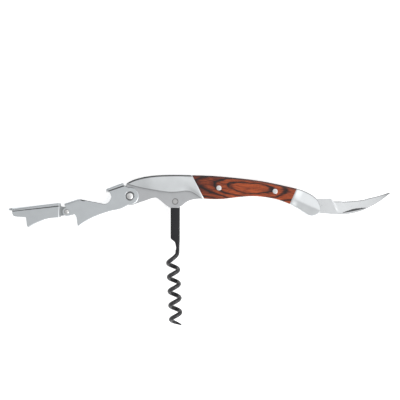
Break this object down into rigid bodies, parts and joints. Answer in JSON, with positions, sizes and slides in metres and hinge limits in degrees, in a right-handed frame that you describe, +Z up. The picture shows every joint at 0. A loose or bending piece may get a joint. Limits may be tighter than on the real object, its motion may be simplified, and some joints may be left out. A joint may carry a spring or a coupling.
{
  "type": "lever corkscrew",
  "caption": "Folding lever corkscrew with a black worm, a hinged lever with two steps and a bottle-cap notch, a serrated foil blade, and a wood and steel handle.",
  "frame": {"origin": "on the flat underside of the lower scale, midway between its two rivets, on the surface that the tool lies on", "axes": "+X along the handle towards the blade, +Y towards the back of the handle, +Z up from the side that it lies on; the worm points along -Y and every hinge turns about +Z"},
  "size_m": [0.2301, 0.0905, 0.0147],
  "materials": {
    "satin_steel": "satin stainless steel, lightly blasted",
    "liner_steel": "satin stainless steel, a little darker",
    "pressed_steel": "pressed stainless sheet, satin",
    "pin_steel": "bright turned steel",
    "blade_steel": "ground and lightly polished blade steel",
    "pakkawood": "polished red-brown laminated wood with dark figure",
    "black_coating": "black non-stick coating, satin",
    "bronze": "plain turned bronze"
  },
  "bodies": {
    "handle": {"upper_liner": "liner_steel", "lower_liner": "liner_steel", "spacer_bar": "liner_steel", "upper_front_bolster": "satin_steel", "lower_front_bolster": "satin_steel", "upper_rear_bolster": "satin_steel", "lower_rear_bolster": "satin_steel", "upper_scale": "pakkawood", "lower_scale": "pakkawood", "upper_scale_rivets": "pin_steel", "lower_scale_rivets": "pin_steel", "bolster_pins": "pin_steel", "spacer_pins": "pin_steel", "lever_pivot_pin": "pin_steel", "lever_pivot_sleeve": "pin_steel", "worm_pivot_pin": "pin_steel", "worm_washers": "bronze", "blade_pivot_pin": "pin_steel", "blade_washers": "bronze", "blade_stop_pin": "pin_steel"},
    "lever": {"lever": "pressed_steel", "tip_spring": "liner_steel", "tip_spring_rivet": "pin_steel", "lever_hinge_pin": "pin_steel"},
    "lever_tip": {"lever_tip": "pressed_steel"},
    "worm": {"worm": "black_coating"},
    "blade": {"blade": "blade_steel"}
  },
  "joints": [
    {"name": "lever_fold", "type": "hinge", "parent": "handle", "child": "lever", "pos_m": [-0.0701, -0.0038, 0.00735], "axis": [0, 0, 1], "range_deg": [0, 150]},
    {"name": "tip_fold", "type": "hinge", "parent": "lever", "child": "lever_tip", "pos_m": [-0.1079, -0.0132, 0.00735], "axis": [0, 0, 1], "range_deg": [-20, 20]},
    {"name": "worm_fold", "type": "hinge", "parent": "handle", "child": "worm", "pos_m": [-0.043, -0.0071, 0.00735], "axis": [0, 0, 1], "range_deg": [0, 83]},
    {"name": "blade_fold", "type": "hinge", "parent": "handle", "child": "blade", "pos_m": [0.0376, -0.01, 0.00735], "axis": [0, 0, 1], "range_deg": [0, 151]}
  ],
  "couplings": [
    {"joint": "worm_fold", "follows": "lever_fold", "ratio": 0.55}
  ]
}
